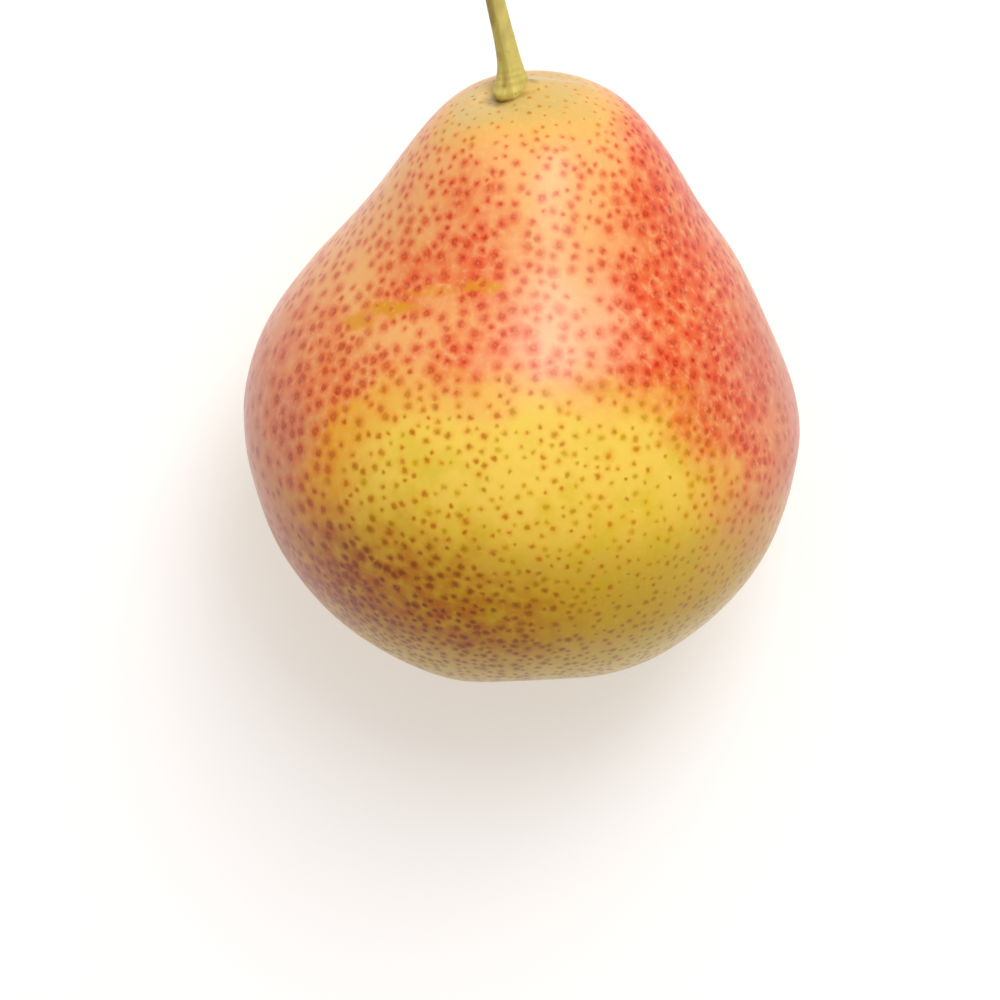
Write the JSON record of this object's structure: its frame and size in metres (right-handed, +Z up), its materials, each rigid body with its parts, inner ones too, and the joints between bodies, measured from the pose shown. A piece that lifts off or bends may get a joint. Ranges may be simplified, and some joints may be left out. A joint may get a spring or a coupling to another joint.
{
  "type": "pear",
  "caption": "Fresh squat pear with a red blush and fine speckles, lying on its side on a small flat spot, with a woody stem and a dried calyx.",
  "frame": {"origin": "middle of the bottom of the bounding box, on the surface that the pear rests on", "axes": "+Z up; +Y along the pear, seen from above, towards the end of its stem; +X to the right of someone who looks along +Y"},
  "size_m": [0.0664, 0.0934, 0.0677],
  "materials": {
    "skin": null,
    "stem": "green-brown living stalk, dull",
    "calyx": "dry dark brown flower remains, matte"
  },
  "bodies": {
    "root": {"fruit": "skin", "stem": "stem", "calyx": "calyx"}
  },
  "joints": []
}
